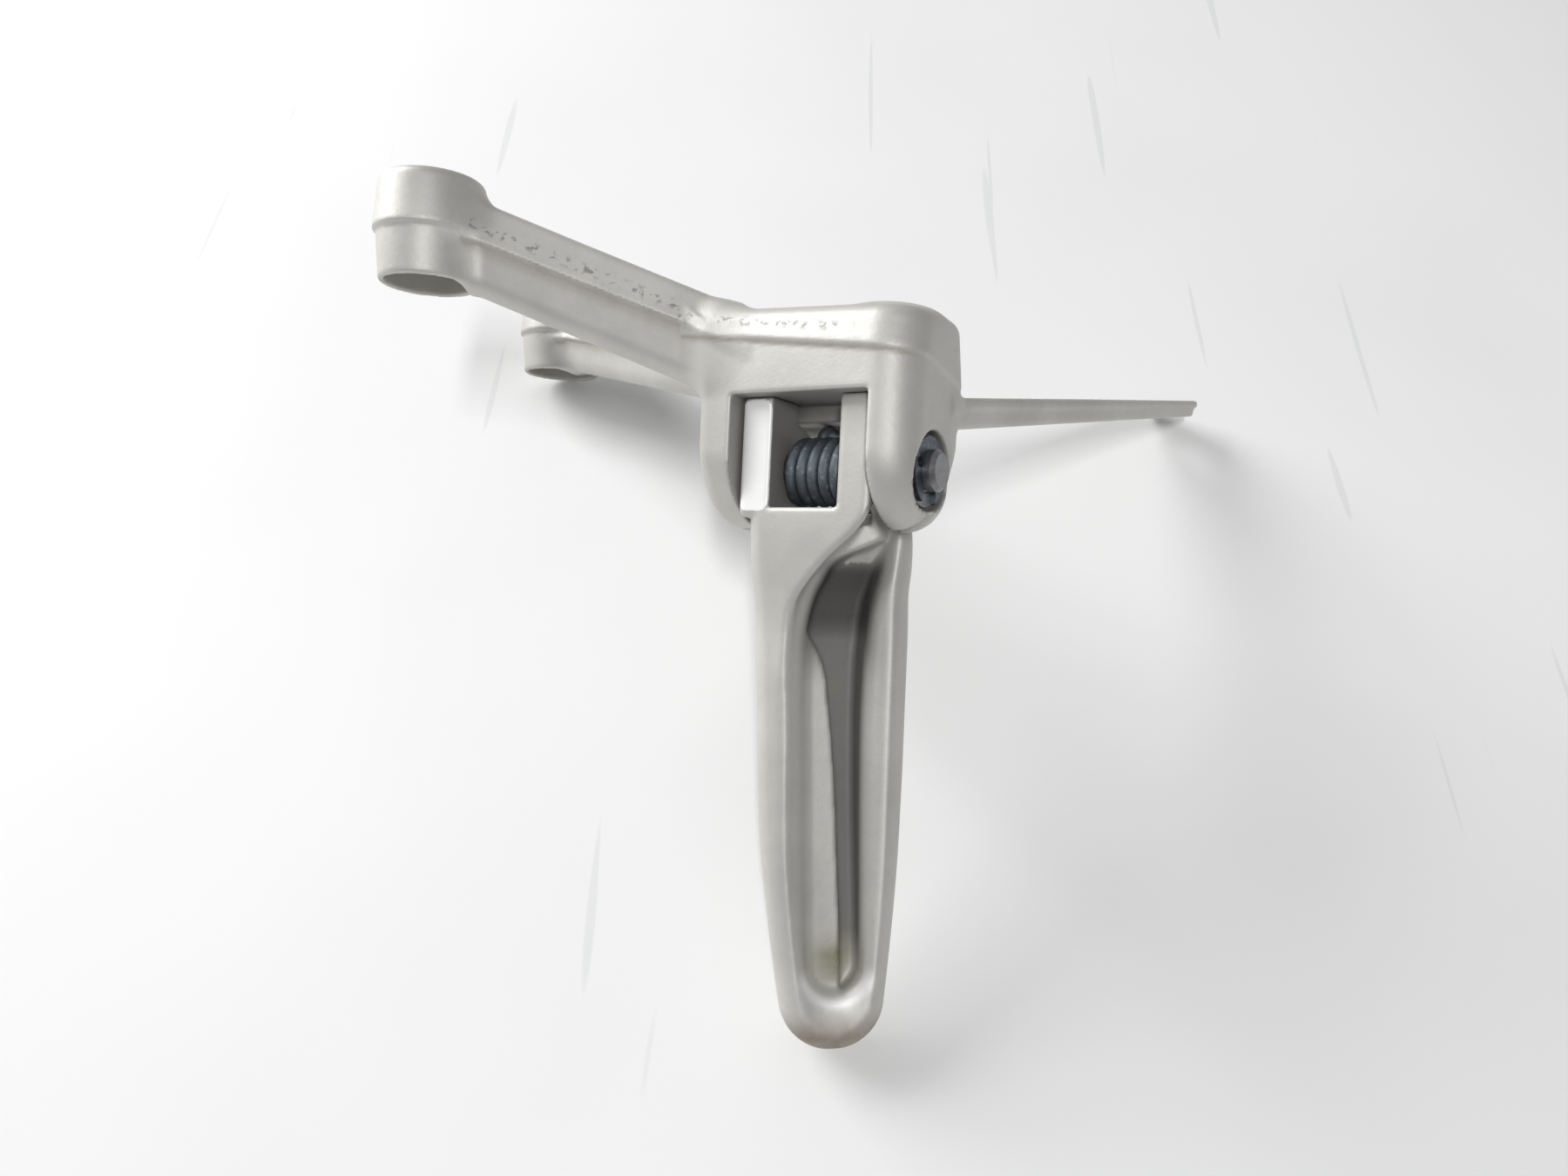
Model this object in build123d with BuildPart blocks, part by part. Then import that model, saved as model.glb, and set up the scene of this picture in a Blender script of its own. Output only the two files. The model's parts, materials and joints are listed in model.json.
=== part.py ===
"""Folding motorcycle footpeg on its cast hanger, standing on three points.

Everything is built in one working frame: the pivot pin lies along X with the origin at its middle,
Y points inboard to the machine, Z points out of the underside of the peg, and the peg runs to -Y.
At the end the pieces are turned together into the pose in which the part rests on a flat surface.
"""
from build123d import *
from math import atan2, cos, degrees, radians, sin
import os

# ---- driving dimensions, in millimetres and degrees -------------------------------------------
clevis_width = 46.0       # over both ears, along the pin
window_width = 29.6       # between the ears
window_top = 13.7         # pin axis to the flat that the fork stops against
lip_height = 10.3         # pin axis to the lip behind that flat
lip_front = -3.0          # front of the lip, from the pin axis
rear_lip_height = 8.3     # pin axis to the rim that closes the window behind the spring
rear_lip_front = -9.7
head_top = 29.5           # pin axis to the inboard side of the head
head_front = 13.3         # pin axis to the underside of the head
head_back = 11.0          # pin axis to the upper side of the head
ear_radius = 11.2         # round end of the ears
head_corner = 8.0         # upright edge at the underside, away from the arms
head_edge = 3.0           # the other upright edges
parting_step = 1.2        # how far the inboard half of the casting stands proud
head_parting = 22.8       # height of the parting step at the middle of the head
parting_slope = -0.12     # its fall along the pin

pin_diameter = 8.0
pin_head_diameter = 12.5
pin_head_height = 2.6
pin_tip = 1.3             # how far the pin stands out of the ear
pin_tip_chamfer = 0.8
pin_head_chamfer = 0.5
ear_fit = 0.02            # radial clearance of the pin in the ears
peg_fit = 0.06            # radial running clearance of the peg on the pin
recess_diameter = 15.0    # recess round each end of the pin
recess_depth = 3.0
washer_diameter = 13.6
washer_thickness = 0.8
washer_clearance = 0.2    # radial, washer on the pin
clip_diameter = 13.0
clip_thickness = 1.0
clip_mouth_share = 0.9    # opening that snaps over the pin, as a share of the groove
clip_eye_diameter = 2.0   # relief holes that let the clip spring open
clip_eye_along = 1.2
clip_eye_out = 1.4        # from the groove to the middle of an eye
groove_depth = 0.9        # groove of the pin for the clip
seat_gap = 0.05           # gap between faces that only touch

fork_gap = 0.4            # side clearance of the fork in the window
slot_side_gap = 0.2       # coil to the lug beside its last turn
slot_clearance = 0.7      # coil to the floor of that slot
lug_radius = 9.7
stop_gap = 0.05           # fork to the flat it stops against

wire_diameter = 2.4
coil_clearance = 0.5      # radial, coil on the pin
coil_turns = 5
coil_start = -6.15        # along the pin
hook_reach = 3.6          # foot of the leg under the lip
leg_end = 7.5             # pin axis to the end of the leg that pushes the peg
leg_clearance = 0.2
fold_angle = 75.0         # how far the peg folds up
fold_spare = 20.0         # the leg's groove runs on past that

peg_roll = 40.0           # turn of the tread about the peg's own length, against the pin
peg_sweep = 3.0           # how far the peg leans back from square to the pin
peg_offset = 0.7          # middle of the peg beside the middle of the pin
peg_length = 113.6
peg_root = 30.0           # where the fork has blended into the bar
fork_end = 12.4           # the square fork block ends here
bar_half_width = 15.1
tip_half_width = 9.0
bar_taper = 1.8           # 1 narrows evenly, more keeps the width longer
tip_rounding = ((6.5, 1.0), (3.0, 0.9), (1.0, 0.74), (0.0, 0.56))   # back from the tip, share of width
rim_height = 3.0          # pin axis to the rim round the pocket
flank = 4.6               # the 45 degree flanks beside the rim
tread_height = 9.5        # pin axis to the tread at the root
tip_tread_height = 6.8    # and at the tip
tread_edge = 2.0          # bevel beside the tread
pocket_half_width = 6.1
pocket_depth = 7.5
pocket_start = 17.0       # pin axis to the start of the pocket
tip_wall = 10.5           # left solid beyond the pocket
ridge_pitch = 7.0         # cross grooves of the tread
ridge_count = 11
ridge_groove = 2.2
ridge_depth = 0.8

bolt_hole_diameter = 8.6
bolt_seat_diameter = 17.5
bolt_seat_depth = 12.5
boss_diameter = 21.4
boss_height = 21.4
boss_ring = 9.9           # mouth of the seat to the parting ring
boss_lip = 1.0            # bevel round the mouth
ring_bulge = 0.9
front_boss = (-76.0, 35.1, 34.9)     # middle of the mouth of each bolt seat
upper_boss = (-108.1, 32.3, -40.4)

front_arm_root = (-19.0, 5.8)        # along the pin, and towards the underside
front_arm_root_width = 14.0
front_arm_width = 12.0
front_arm_root_levels = (17.0, 25.4, 31.6)   # outboard face, parting step, inboard face
front_arm_levels = (37.5, 45.0, 54.5)
upper_arm_root = (-19.0, -3.4)
upper_arm_root_width = 13.0
upper_arm_width = 11.0
upper_arm_root_levels = (13.5, 22.0, 28.0)
upper_arm_levels = (34.0, 42.2, 51.0)
stay_root = (17.0, -8.0)
stay_tip = (32.2, -136.0)
stay_root_width = 11.0
stay_width = 14.0
stay_root_levels = (8.6, 12.4, 14.9)
stay_levels = (30.2, 32.6, 34.5)
stay_hole_diameter = 8.4
stay_hole_edge = 10.0     # end of the stay to the middle of its hole

# ---- sizes that follow ------------------------------------------------------------------------
half_clevis = clevis_width / 2
fork_half_width = window_width / 2 - fork_gap
recess_floor = half_clevis - recess_depth
groove_diameter = pin_diameter - 2 * groove_depth
washer_bore = pin_diameter + 2 * washer_clearance
clip_mouth = groove_diameter * clip_mouth_share
clip_eye_across = groove_diameter / 2 + clip_eye_out
coil_radius = pin_diameter / 2 + coil_clearance + wire_diameter / 2
slot_floor = coil_radius + wire_diameter / 2 + slot_clearance
coil_pitch = wire_diameter + seat_gap
spring_slot = 2 * (coil_start + coil_turns * coil_pitch + wire_diameter / 2 + slot_side_gap)
far = 2 * (clevis_width + peg_length)

roll, lean = radians(peg_roll), radians(peg_sweep)
across = Vector(cos(roll), 0, -sin(roll))              # over the width of the tread
bar_normal = Vector(sin(roll), 0, cos(roll))           # out of the pocket
bar_width_axis = across * cos(lean) + Vector(0, 1, 0) * sin(lean)
bar_plane = Plane(origin=across * peg_offset, x_dir=bar_width_axis, z_dir=bar_normal)


def bar_station(distance):
    """Plane square to the peg at a distance from the pin: X over the width, Y out of the pocket."""
    start = bar_plane.from_local_coords((0, -distance, 0))
    return Plane(origin=start, x_dir=bar_plane.x_dir, z_dir=bar_plane.y_dir * -1)


def bar_half(distance):
    """Half width of the bar: nearly even at first, then narrowing faster to the tip."""
    run = max(0.0, (distance - peg_root) / (peg_length - peg_root))
    return bar_half_width - (bar_half_width - tip_half_width) * run ** bar_taper


def tread_at(distance):
    run = max(0.0, (distance - peg_root) / (peg_length - peg_root))
    return tread_height + (tip_tread_height - tread_height) * run


def bar_points(distance, half):
    """Eight corners of the bar's section: rim, flanks, sides and bevelled tread."""
    tread = -tread_at(distance)
    low = rim_height - flank
    rim_half = half - flank
    right = [(rim_half, rim_height), (half, low), (half, tread + tread_edge), (half - tread_edge, tread)]
    left = [(-x, y) for x, y in reversed(right)]
    return right + left


def fork_points(distance):
    """The same eight corners where the bar starts, on the square fork block."""
    cut = tread_edge / 2
    w, h = fork_half_width, lug_radius
    corners = [(w, h - cut), (w, cut - h), (w - cut, -h), (cut - w, -h),
               (-w, cut - h), (-w, h - cut), (cut - w, h), (w - cut, h)]
    plane = bar_station(distance)
    on_plane = []
    for x, z in corners:
        line = Vector(x, -fork_end, z) - plane.origin
        on_plane.append((line.dot(plane.x_dir), line.dot(plane.y_dir)))
    return on_plane


bar_sections = [(d, bar_half(d)) for d in (peg_root, 50.0, 72.0, 92.0)]
tip_sections = [(peg_length - back, tip_half_width * share) for back, share in tip_rounding]


def arm(root, end, root_width, end_width, root_levels, end_levels):
    """A tapered beam between two plan points, its inboard half standing proud."""
    start = Vector(root[0], 0, root[1])
    run = Vector(end[0], 0, end[1]) - start
    length = run.length
    plan = Plane(origin=start, x_dir=run, z_dir=(0, 1, 0))
    side = Plane(origin=start, x_dir=run, z_dir=run.cross(Vector(0, 1, 0)))
    halves = []
    for low, high, trim in ((0, 1, parting_step), (1, 2, 0.0)):
        w0, w1 = root_width / 2 - trim, end_width / 2 - trim
        with BuildPart() as half:
            with BuildSketch(plan):
                Polygon((0, -w1), (length, -w1), (length, w1), (0, w1), align=None)
                Polygon((0, -w0), (length / 2, -w1), (length / 2, w1), (0, w0), align=None)
            extrude(amount=far, both=True)
            with BuildSketch(side):
                Polygon((0, root_levels[low]), (length, end_levels[low]),
                        (length, end_levels[high]), (0, root_levels[high]), align=None)
            extrude(amount=far, both=True, mode=Mode.INTERSECT)
        halves.append(half.part)
    return halves


def boss(mouth):
    """A turned boss: cup, parting ring and inboard pad, with its bolt seat cut later."""
    r, ring = boss_diameter / 2, boss_diameter / 2 + ring_bulge
    with BuildPart() as body:
        with BuildSketch(Plane(origin=mouth, x_dir=(1, 0, 0), z_dir=(0, 0, 1))):
            with BuildLine():
                Polyline((0, 0), (r - boss_lip, 0), (r, 1.5 * boss_lip), (r, boss_ring), (ring, boss_ring),
                         (ring, boss_ring + 2.0), (r + 0.2, boss_ring + 4.5),
                         (r - 0.3, boss_height), (0, boss_height), (0, 0))
            make_face()
        revolve(axis=Axis(mouth, (0, 1, 0)))
    return body.part


# ---- hanger ------------------------------------------------------------------------------------
with BuildPart() as head:
    with BuildSketch(Plane.YZ) as head_side:
        with Locations(((head_top - ear_radius) / 2, (head_front - head_back) / 2)):
            Rectangle(head_top + ear_radius, head_front + head_back)
        fillet(head_side.vertices().group_by(Axis.Y)[0], ear_radius - 0.3)
    extrude(amount=half_clevis, both=True)
    upright = head.edges().filter_by(Axis.Y)
    under_edges = upright.group_by(Axis.Z)[-1].sort_by(Axis.X)
    fillet(under_edges[-1], head_corner)
    fillet(head.edges().filter_by(Axis.Y).group_by(Axis.Z)[0], head_edge)

with BuildPart() as head_cap:
    with BuildSketch(Plane.XZ) as cap_plan:
        with Locations((0, (head_front - head_back) / 2)):
            Rectangle(clevis_width + 2 * parting_step, head_front + head_back + 2 * parting_step)
        fillet(cap_plan.vertices(), head_edge + parting_step)
    extrude(amount=-head_top)
    with BuildSketch(Plane.XY):
        rise = parting_slope * far
        Polygon((-far, head_parting - rise), (far, head_parting + rise), (far, head_top),
                (-far, head_top), align=None)
    extrude(amount=far, both=True, mode=Mode.INTERSECT)

with BuildPart() as hanger:
    add(head.part)
    add(head_cap.part)
    front = (front_boss[0], front_boss[2])
    upper = (upper_boss[0], upper_boss[2])
    add(arm(front_arm_root, front, front_arm_root_width, front_arm_width,
            front_arm_root_levels, front_arm_levels))
    add(arm(upper_arm_root, upper, upper_arm_root_width, upper_arm_width,
            upper_arm_root_levels, upper_arm_levels))
    add(arm(stay_root, stay_tip, stay_root_width, stay_width, stay_root_levels, stay_levels))
    for mouth in (front_boss, upper_boss):
        add(boss(mouth))
    for mouth in (front_boss, upper_boss):
        with Locations(Plane(origin=mouth, x_dir=(1, 0, 0), z_dir=(0, -1, 0))):
            CounterBoreHole(radius=bolt_hole_diameter / 2, counter_bore_radius=bolt_seat_diameter / 2,
                            counter_bore_depth=bolt_seat_depth, depth=boss_height + 1)
    # window for the fork, with a lip across it behind the flat
    with BuildSketch(Plane.YZ):
        Polygon((window_top, lip_front), (window_top, far), (-far, far), (-far, -far),
                (rear_lip_height, -far), (rear_lip_height, rear_lip_front),
                (lip_height, rear_lip_front), (lip_height, lip_front), align=None)
    extrude(amount=window_width / 2, both=True, mode=Mode.SUBTRACT)
    # pin bore, and a recess at each end of it
    with BuildSketch(Plane.YZ):
        Circle(pin_diameter / 2 + ear_fit)
    extrude(amount=clevis_width, both=True, mode=Mode.SUBTRACT)
    for end in (1, -1):
        with BuildSketch(Plane.YZ.offset(end * recess_floor)):
            Circle(recess_diameter / 2)
        extrude(amount=end * (recess_depth + parting_step), mode=Mode.SUBTRACT)
    # hole in the stay, square to its tilted faces
    stay_run = Vector(stay_tip[0], stay_levels[0], stay_tip[1]) - Vector(
        stay_root[0], stay_root_levels[0], stay_root[1])
    stay_end = Vector(stay_tip[0], stay_levels[0], stay_tip[1])
    stay_across = Vector(0, 1, 0).cross(stay_run).normalized()
    stay_normal = stay_run.cross(stay_across).normalized()
    stay_hole = stay_end - stay_run.normalized() * stay_hole_edge
    with BuildSketch(Plane(origin=stay_hole, x_dir=stay_across, z_dir=stay_normal)):
        Circle(stay_hole_diameter / 2)
    extrude(amount=stay_levels[2], both=True, mode=Mode.SUBTRACT)

# ---- footpeg -----------------------------------------------------------------------------------
with BuildPart() as bar:
    with BuildSketch(bar_station(fork_end)):
        Polygon(*fork_points(fork_end), align=None)
    for distance, half in bar_sections + tip_sections:
        with BuildSketch(bar_station(distance)):
            Polygon(*bar_points(distance, half), align=None)
    loft(ruled=True)

with BuildPart() as footpeg:
    # fork block, with its square corner on the underside for the stop
    with BuildSketch(Plane.YZ):
        Circle(lug_radius)
        stop = window_top - stop_gap
        with Locations((stop / 2, lug_radius / 2)):
            Rectangle(stop, lug_radius)
        with Locations((-(fork_end + 1) / 2, 0)):
            Rectangle(fork_end + 1, 2 * lug_radius)
    extrude(amount=fork_half_width, both=True)
    add(bar.part)
    # slot for the spring, open inboard
    with Locations((0, far / 2 - slot_floor, 0)):
        Box(spring_slot, far, far, mode=Mode.SUBTRACT)
    with BuildSketch(Plane.YZ):
        Circle(pin_diameter / 2 + peg_fit)
    extrude(amount=clevis_width, both=True, mode=Mode.SUBTRACT)
    # groove in the slot's floor for the leg of the spring, over the whole fold
    wire_reach = leg_end + leg_clearance, coil_radius + wire_diameter / 2 + leg_clearance
    with BuildSketch(Plane.XY) as leg_groove:
        with Locations((coil_start + coil_turns * coil_pitch, -Vector(*wire_reach).length / 2)):
            Rectangle(wire_diameter + 2 * leg_clearance, Vector(*wire_reach).length)
    leg_angle = degrees(atan2(wire_reach[1], wire_reach[0]))
    revolve(leg_groove.sketch.rotate(Axis.X, leg_angle), axis=Axis.X,
            revolution_arc=-(fold_angle + fold_spare), mode=Mode.SUBTRACT)
    # pocket in the underside
    with BuildSketch(bar_plane.offset(rim_height - pocket_depth)):
        pocket_end = peg_length - tip_wall
        with Locations((0, -(pocket_start + pocket_end) / 2)):
            SlotCenterToCenter(pocket_end - pocket_start - 2 * pocket_half_width,
                               2 * pocket_half_width, rotation=90)
    extrude(amount=far, mode=Mode.SUBTRACT)
    # cross grooves of the tread
    for number in range(ridge_count):
        distance = peg_root + number * ridge_pitch
        with Locations(bar_station(distance)):
            with Locations((0, -tread_at(distance), 0)):
                Box(far, 2 * ridge_depth, ridge_groove, mode=Mode.SUBTRACT)

# ---- pivot pin, washer, retaining clip ---------------------------------------------------------
washer_at = recess_floor + seat_gap
clip_at = washer_at + washer_thickness + seat_gap
pin_end = half_clevis + pin_tip
with BuildPart() as pivot_pin:
    with BuildSketch(Plane.YZ.offset(-recess_floor - seat_gap)):
        Circle(pin_head_diameter / 2)
    extrude(amount=-pin_head_height)
    with BuildSketch(Plane.YZ.offset(-recess_floor - seat_gap)):
        Circle(pin_diameter / 2)
    extrude(amount=recess_floor + seat_gap + pin_end)
    chamfer(pivot_pin.edges().group_by(Axis.X)[-1], pin_tip_chamfer)
    chamfer(pivot_pin.edges().group_by(Axis.X)[0], pin_head_chamfer)
    with BuildSketch(Plane.YZ.offset(clip_at - seat_gap)):
        Circle(pin_diameter / 2)
        Circle(groove_diameter / 2, mode=Mode.SUBTRACT)
    extrude(amount=clip_thickness + 2 * seat_gap, mode=Mode.SUBTRACT)

with BuildPart() as washer:
    with BuildSketch(Plane.YZ.offset(washer_at)):
        Circle(washer_diameter / 2)
        Circle(washer_bore / 2, mode=Mode.SUBTRACT)
    extrude(amount=washer_thickness)

with BuildPart() as retaining_clip:
    grip = groove_diameter / 2 + ear_fit
    with BuildSketch(Plane.YZ.offset(clip_at)):
        Circle(clip_diameter / 2)
        Circle(grip, mode=Mode.SUBTRACT)
        with Locations((-clip_diameter / 2, 0)):
            Rectangle(clip_diameter, clip_mouth, mode=Mode.SUBTRACT)
        for side in (1, -1):
            with Locations((clip_eye_along, side * clip_eye_across)):
                Circle(clip_eye_diameter / 2, mode=Mode.SUBTRACT)
    extrude(amount=clip_thickness)

# ---- return spring -----------------------------------------------------------------------------
# The coil lies round the pin. One leg goes up behind it and hooks under the lip of the head. The
# other goes down behind it, into the groove in the slot's floor, and pushes the peg on its stop.
with BuildPart() as return_spring:
    coil = Helix(pitch=coil_pitch, height=coil_turns * coil_pitch, radius=coil_radius,
                 center=(coil_start, 0, 0), direction=(1, 0, 0), lefthand=True, mode=Mode.PRIVATE)
    coil = coil.rotate(Axis.X, 180)
    with BuildSketch(Plane(origin=coil @ 0, z_dir=coil % 0)):
        Circle(wire_diameter / 2)
    sweep(path=coil, is_frenet=True)
    hook_height = lip_height - seat_gap - wire_diameter / 2
    hook_corner = Vector(coil @ 0) + Vector(0, hook_height, 0)
    with BuildLine():
        hook = FilletPolyline(coil @ 0, hook_corner, hook_corner - Vector(0, 0, hook_reach),
                              radius=wire_diameter)
    with BuildSketch(Plane(origin=coil @ 0, z_dir=(0, 1, 0))):
        Circle(wire_diameter / 2)
    sweep(path=hook)
    with BuildSketch(Plane(origin=coil @ 1, z_dir=(0, -1, 0))):
        Circle(wire_diameter / 2)
    extrude(amount=leg_end)

# ---- standing pose -----------------------------------------------------------------------------
# The part rests on the tip of the peg, the mouth of the upper boss and the end of the stay. The
# lowest point of each fixes the table's plane, and the plane fixes which point is lowest.


def lowest_on_rim(centre, radius, up):
    down = Vector(-up.X, 0, -up.Z).normalized()
    return Vector(centre) + down * radius


peg_feet = [bar_station(d).from_local_coords((x, y, 0)) for d, half in tip_sections
            for x, y in bar_points(d, half)]
stay_side = Vector(stay_tip[1] - stay_root[1], 0, stay_root[0] - stay_tip[0]).normalized()
stay_feet = [Vector(stay_tip[0], stay_levels[0], stay_tip[1])
             + stay_side * (side * (stay_width / 2 - parting_step)) for side in (1, -1)]
up = Vector(0.4, 0.5, 0.7).normalized()
for turn in range(20):
    peg_foot = min(peg_feet, key=up.dot)
    stay_foot = min(stay_feet, key=up.dot)
    boss_foot = lowest_on_rim(upper_boss, boss_diameter / 2 - boss_lip, up)
    up = (boss_foot - peg_foot).cross(stay_foot - peg_foot).normalized()
    if up.Z < 0:
        up = up * -1
stand = Plane(origin=peg_foot, x_dir=stay_foot - boss_foot, z_dir=up)

parts = {"hanger": hanger, "footpeg": footpeg, "pivot_pin": pivot_pin, "washer": washer,
         "retaining_clip": retaining_clip, "return_spring": return_spring}
to_stand = stand.location.inverse()
whole = Compound(children=[piece.part.moved(to_stand) for piece in parts.values()]).bounding_box()
to_origin = Location((-(whole.min.X + whole.max.X) / 2, -(whole.min.Y + whole.max.Y) / 2, -whole.min.Z))
placing = to_origin * to_stand

os.makedirs("parts", exist_ok=True)
for name, piece in parts.items():
    piece.part = piece.part.moved(placing)
    piece.part.label = name
    export_step(piece.part, f"parts/{name}.step")
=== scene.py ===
"""Folding footpeg on its cast hanger: cast, turned and wound pieces round the CAD frame.

The castings are described as solids in a working frame in millimetres: the pivot pin lies along X,
Y points inboard, Z points out of the underside of the peg and the peg runs to -Y. Each solid is a
function that says how far a point lies outside it, and the pieces are meshed where that is zero.
"""
import json
import math
from typing import NamedTuple

import bpy
import numpy as np
from bpy.props import FloatProperty, FloatVectorProperty, IntProperty, PointerProperty
from mathutils import Matrix, Vector


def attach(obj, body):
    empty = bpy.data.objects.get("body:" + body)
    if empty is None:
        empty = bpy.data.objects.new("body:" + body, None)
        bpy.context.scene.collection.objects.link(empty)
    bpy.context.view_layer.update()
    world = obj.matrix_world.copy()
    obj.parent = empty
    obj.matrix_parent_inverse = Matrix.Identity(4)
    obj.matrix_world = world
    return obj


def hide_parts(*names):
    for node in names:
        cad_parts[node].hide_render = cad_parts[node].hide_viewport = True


bl_info = {
    "name": "Folding footpeg",
    "version": (1, 0, 0),
    "blender": (4, 5, 0),
    "location": "View3D > Sidebar > Footpeg",
    "description": "Builds a folding footpeg on its cast hanger from named sizes and finishes",
    "category": "Object",
}

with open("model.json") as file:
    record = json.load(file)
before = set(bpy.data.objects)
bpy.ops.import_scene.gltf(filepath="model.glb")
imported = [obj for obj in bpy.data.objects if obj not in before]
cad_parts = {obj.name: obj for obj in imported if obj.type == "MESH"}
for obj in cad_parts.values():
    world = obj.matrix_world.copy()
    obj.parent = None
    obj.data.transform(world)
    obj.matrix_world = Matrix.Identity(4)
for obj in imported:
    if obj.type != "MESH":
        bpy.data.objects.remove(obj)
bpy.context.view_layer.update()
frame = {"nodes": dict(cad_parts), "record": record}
RECORD = frame["record"]
MM = 0.001
COARSE = 1.0


# ---- the working frame ---------------------------------------------------------------------------
def find(items, name):
    """The item of that name in a list of the record."""
    return next(item for item in items if item["name"] == name)


def working_frame():
    """Rotation columns and origin of the working frame in the row frame, in metres."""
    joint = find(RECORD["behaviour"]["joints"], "fold")
    along = np.array(joint["axis"])
    along /= np.linalg.norm(along)
    inboard = -np.array(find(RECORD["mounts"], "front_bolt_hole")["axis"])
    inboard -= along * inboard.dot(along)
    inboard /= np.linalg.norm(inboard)
    return np.column_stack([along, inboard, np.cross(along, inboard)]), np.array(joint["pos_m"])


TURN, PIN = working_frame()


def to_row(points):
    """Working-frame millimetres to row-frame metres."""
    return np.asarray(points, float) @ TURN.T * MM + PIN


# ---- solids as distance functions ----------------------------------------------------------------
CURVE_POINTS = 500


def both(a, b, r=0.0):
    """Where two solids overlap, with the edge between them rounded to r."""
    worst = np.maximum(a, b)
    if np.all(r == 0):
        return worst
    return np.minimum(-r, worst) + np.hypot(np.maximum(r + a, 0), np.maximum(r + b, 0))


def either(a, b, r=0.0):
    """Two solids together, with a fillet of r between them."""
    best = np.minimum(a, b)
    if r == 0:
        return best
    return np.maximum(r, best) - np.hypot(np.maximum(r - a, 0), np.maximum(r - b, 0))


def without(a, b, r=0.0):
    """Solid a with b cut out of it."""
    return both(a, -b, r)


def ease(value, low, high):
    """0 below low, 1 above high, and smooth between."""
    t = np.clip((value - low) / (high - low), 0, 1)
    return t * t * (3 - 2 * t)


def between(value, stops):
    """Smooth curve through (value, result) stops."""
    xs, ys = np.array(stops, float).T
    slope = np.gradient(ys, xs)
    fine = np.linspace(xs[0], xs[-1], CURVE_POINTS)
    i = np.clip(np.searchsorted(xs, fine) - 1, 0, len(xs) - 2)
    gap = xs[i + 1] - xs[i]
    t = (fine - xs[i]) / gap
    curve = (ys[i] * (2 * t ** 3 - 3 * t ** 2 + 1) + gap * slope[i] * (t ** 3 - 2 * t ** 2 + t)
             + ys[i + 1] * (3 * t ** 2 - 2 * t ** 3) + gap * slope[i + 1] * (t ** 3 - t ** 2))
    return np.interp(value, fine, curve)


def band(value, middle, width):
    """1 in the middle of a soft band, and next to 0 beyond twice its width."""
    return np.exp(-((value - middle) / width) ** 2)


# ---- meshing -------------------------------------------------------------------------------------
CORNERS = [(i, j, k) for i in (0, 1) for j in (0, 1) for k in (0, 1)]
EDGES = [(a, b) for a in CORNERS for b in CORNERS
         if sum(b) == sum(a) + 1 and all(q >= p for p, q in zip(a, b))]
BLOCK = 4             # cells along a block of the first, coarse look
NEAR = 1.5            # blocks from the surface within which every cell is sampled
BATCH = 400000        # points sampled at a time
SETTLE_TURNS = 3      # times that the vertices are moved on to the surface
SETTLE_REACH = 0.4    # the most that they move in one turn, in cells
NUDGE = 0.02          # step over which slopes are measured
LEAST_SLOPE = 0.05


def sample(solid, points):
    """Distances of many points, taken in batches."""
    out = np.empty(len(points))
    for start in range(0, len(points), BATCH):
        part = points[start:start + BATCH]
        out[start:start + BATCH] = solid(part[:, 0], part[:, 1], part[:, 2])
    return out


def lattice(counts):
    """Whole-number places in a box of so many along each axis."""
    return np.stack(np.meshgrid(*map(np.arange, counts), indexing="ij"), -1).reshape(-1, 3)


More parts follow.
